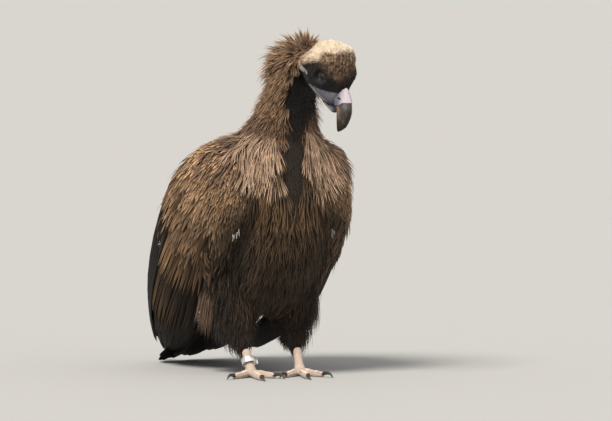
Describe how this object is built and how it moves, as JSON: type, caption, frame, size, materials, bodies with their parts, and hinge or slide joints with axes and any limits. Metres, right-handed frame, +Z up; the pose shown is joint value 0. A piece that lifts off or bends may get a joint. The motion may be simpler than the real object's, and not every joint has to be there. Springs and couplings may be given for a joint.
{
  "type": "cinereous vulture",
  "caption": "Still, life-size cinereous vulture standing on both feet with folded wings, its head bowed and turned to its left, and a plain metal ring on its right leg.",
  "frame": {"origin": "on the floor, under the middle of the bird's bounding box", "axes": "+X towards the bird's left side, -Y the way its body faces, +Z up"},
  "size_m": [0.3514, 0.6728, 0.676],
  "materials": {
    "dark_plumage": "dark brown long feathers, matt",
    "brown_plumage": "mid-brown feathers with paler edges, matt",
    "ruff_plumage": "brown pointed feathers, soft",
    "flight_feathers": "black-brown flight feathers, faint sheen",
    "down": "short down, cream on the crown and black on the face",
    "horn": "pale blue-grey cere and dark horn, half gloss",
    "eye": "dark brown, wet gloss",
    "scaled_skin": "pale pinkish-grey scaled skin",
    "claw": "black horn, half gloss",
    "ring_metal": "dull, lightly worn"
  },
  "bodies": {
    "root": {"trunk": "dark_plumage", "neck": "ruff_plumage", "bill_upper": "horn", "bill_lower": "horn", "head": "down", "tail": "flight_feathers", "eye_right": "eye", "thigh_right": "dark_plumage", "wing_arm_right": "brown_plumage", "wing_secondaries_right": "brown_plumage", "wing_primaries_right": "flight_feathers", "shank_right": "scaled_skin", "toe_outer_right": "scaled_skin", "toe_middle_right": "scaled_skin", "toe_inner_right": "scaled_skin", "toe_hind_right": "scaled_skin", "claw_outer_right": "claw", "claw_middle_right": "claw", "claw_inner_right": "claw", "claw_hind_right": "claw", "eye_left": "eye", "thigh_left": "dark_plumage", "wing_arm_left": "brown_plumage", "wing_secondaries_left": "brown_plumage", "wing_primaries_left": "flight_feathers", "shank_left": "scaled_skin", "toe_outer_left": "scaled_skin", "toe_middle_left": "scaled_skin", "toe_inner_left": "scaled_skin", "toe_hind_left": "scaled_skin", "claw_outer_left": "claw", "claw_middle_left": "claw", "claw_inner_left": "claw", "claw_hind_left": "claw", "leg_ring": "ring_metal"}
  },
  "joints": []
}
